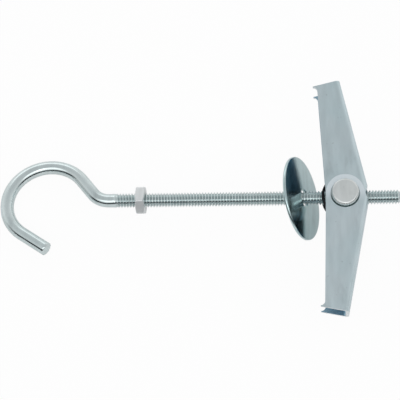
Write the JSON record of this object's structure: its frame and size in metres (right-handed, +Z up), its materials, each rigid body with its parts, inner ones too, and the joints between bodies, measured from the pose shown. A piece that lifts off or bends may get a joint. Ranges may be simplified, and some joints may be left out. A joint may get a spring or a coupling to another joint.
{
  "type": "spring toggle bolt",
  "caption": "Hooked threaded bolt with nut, dished washer and sprung folding wings that open behind a hollow wall.",
  "frame": {"origin": "on the floor, in the middle of the whole part's length and width, as it lies at rest", "axes": "+X along the rod from the hook to its free end as seen from above, +Z up from the floor"},
  "size_m": [0.1424, 0.0842, 0.0295],
  "materials": {
    "bolt_zinc": "bright zinc plating over rolled thread and bent wire",
    "nut_zinc": "zinc-plated steel",
    "washer_zinc": "pressed zinc-plated sheet, faintly blue",
    "barrel_zinc": "turned, then tumbled and zinc plated",
    "spring_black": "oil-blackened spring wire",
    "wing_zinc": "folded sheet, zinc plated with a faint blue-green tint"
  },
  "bodies": {
    "bolt": {"hook_bolt": "bolt_zinc"},
    "nut": {"hex_nut": "nut_zinc"},
    "barrel": {"barrel_nut": "barrel_zinc", "torsion_spring": "spring_black"},
    "washer": {"washer": "washer_zinc"},
    "rear_wing": {"rear_wing": "wing_zinc"},
    "front_wing": {"front_wing": "wing_zinc"}
  },
  "joints": [
    {"name": "nut_travel", "type": "slide", "parent": "bolt", "child": "nut", "axis": [0.9946, 0, 0.104], "range_m": [-0.0073, 0.005]},
    {"name": "toggle_travel", "type": "slide", "parent": "bolt", "child": "barrel", "axis": [0.9946, 0, 0.104], "range_m": [-0.005, 0.0125]},
    {"name": "rear_wing_fold", "type": "hinge", "parent": "barrel", "child": "rear_wing", "pos_m": [0.05188, 0.00003, 0.01524], "axis": [-0.1016, -0.2141, 0.9715], "range_deg": [0, 79], "stiffness_Nm_per_rad": 0.02, "springref_deg": -20.05, "deforming": ["torsion_spring"]},
    {"name": "front_wing_fold", "type": "hinge", "parent": "barrel", "child": "front_wing", "pos_m": [0.05188, 0.00003, 0.01524], "axis": [0.1016, 0.2141, -0.9715], "range_deg": [0, 79], "stiffness_Nm_per_rad": 0.02, "springref_deg": -20.05, "deforming": ["torsion_spring"]},
    {"name": "washer_push", "type": "slide", "parent": "barrel", "child": "washer", "axis": [0.9946, 0, 0.104], "range_m": [-0.042, 0]}
  ],
  "couplings": [
    {"joint": "front_wing_fold", "follows": "rear_wing_fold", "ratio": 1},
    {"joint": "washer_push", "follows": "rear_wing_fold", "m_per_rad": -0.0295}
  ]
}
